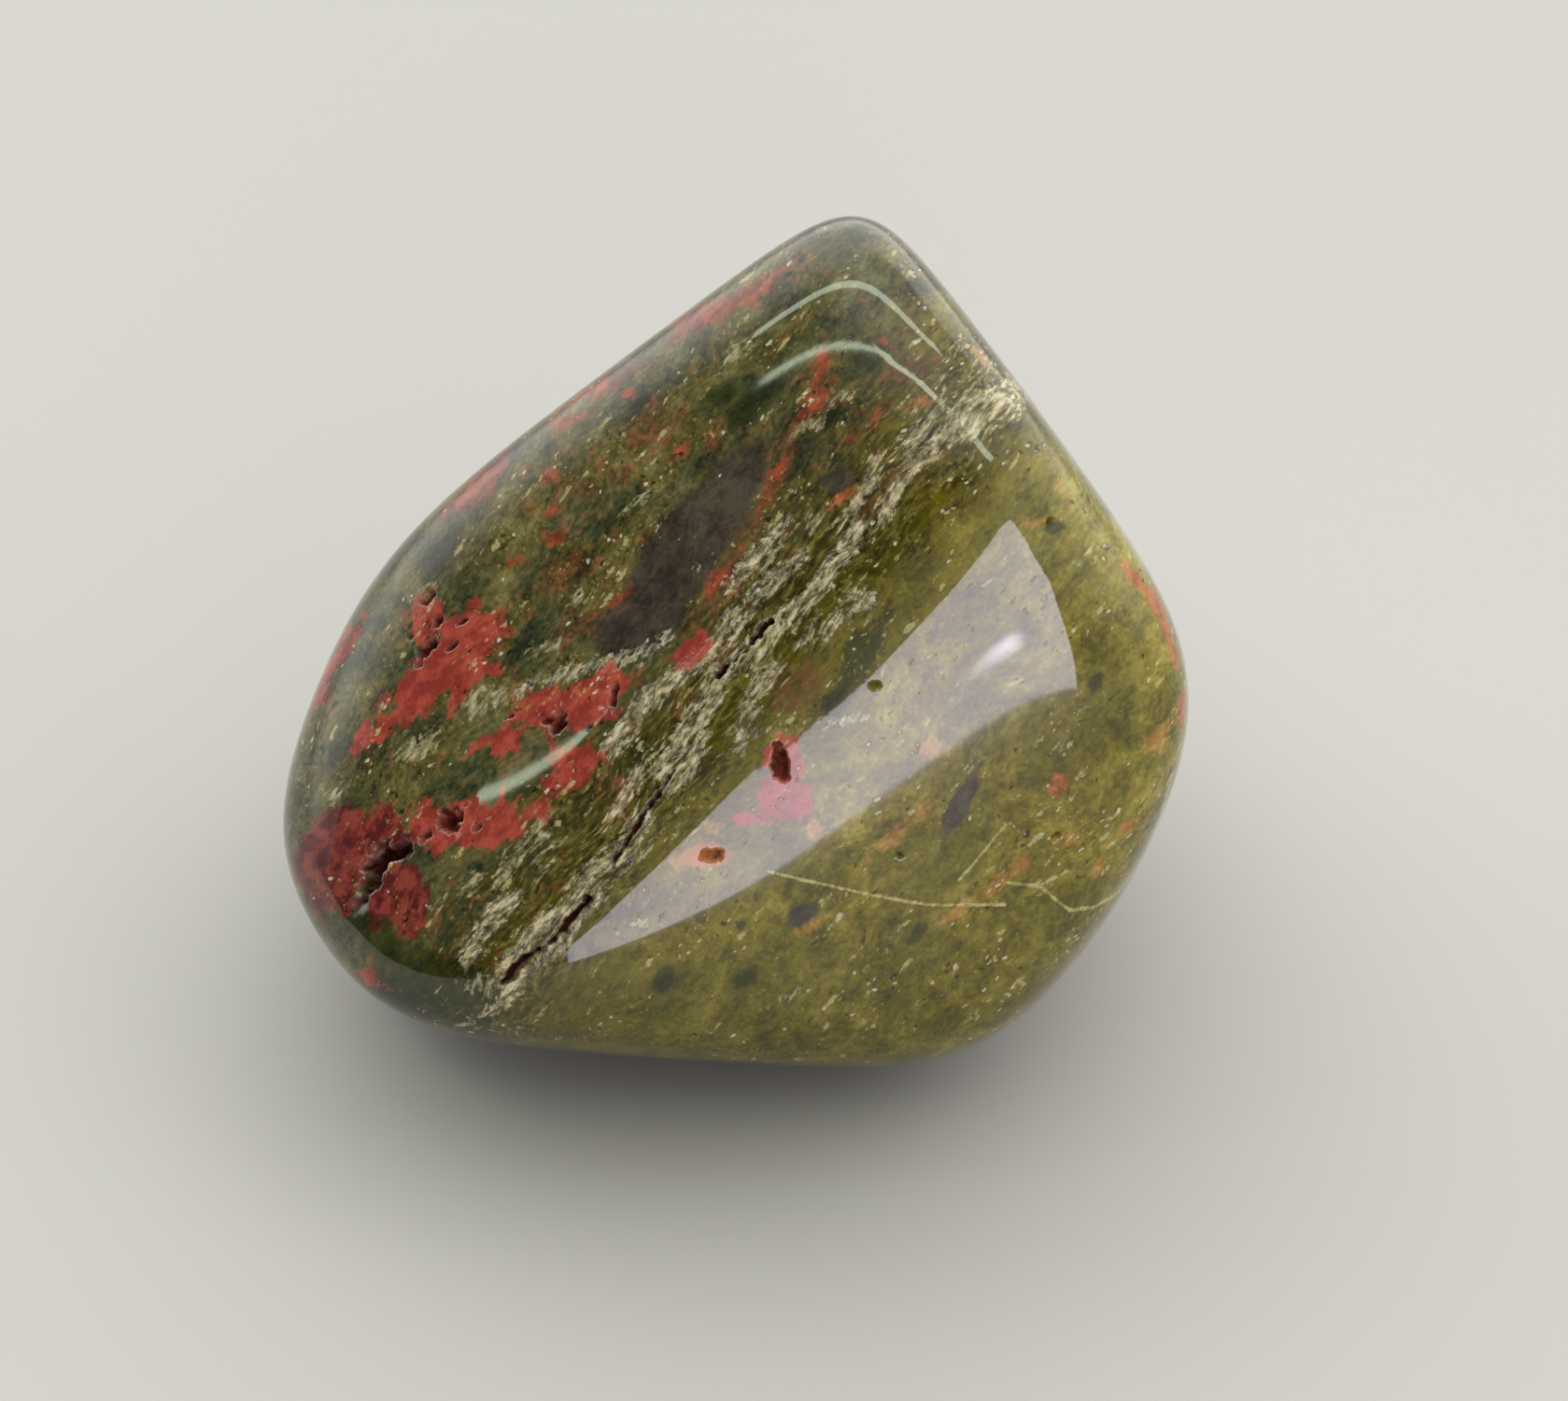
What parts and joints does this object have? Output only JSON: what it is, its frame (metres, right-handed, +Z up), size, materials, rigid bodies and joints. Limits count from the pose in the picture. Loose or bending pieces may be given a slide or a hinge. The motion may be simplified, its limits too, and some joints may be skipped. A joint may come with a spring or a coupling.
{
  "type": "tumbled stone",
  "caption": "Tumbled and polished stone: a rounded, irregular lump of mottled green and red jasper with open pits, lying on a small flat spot underneath.",
  "frame": {"origin": "middle of the flat resting spot, on the surface that the stone lies on", "axes": "+Z up; +X to the right and -Y to the front, as the stone is seen with its blunt peak at the back"},
  "size_m": [0.0295, 0.0264, 0.0271],
  "materials": {
    "stone": "tumbled and polished to a high gloss"
  },
  "bodies": {
    "root": {"stone": "stone"}
  },
  "joints": []
}
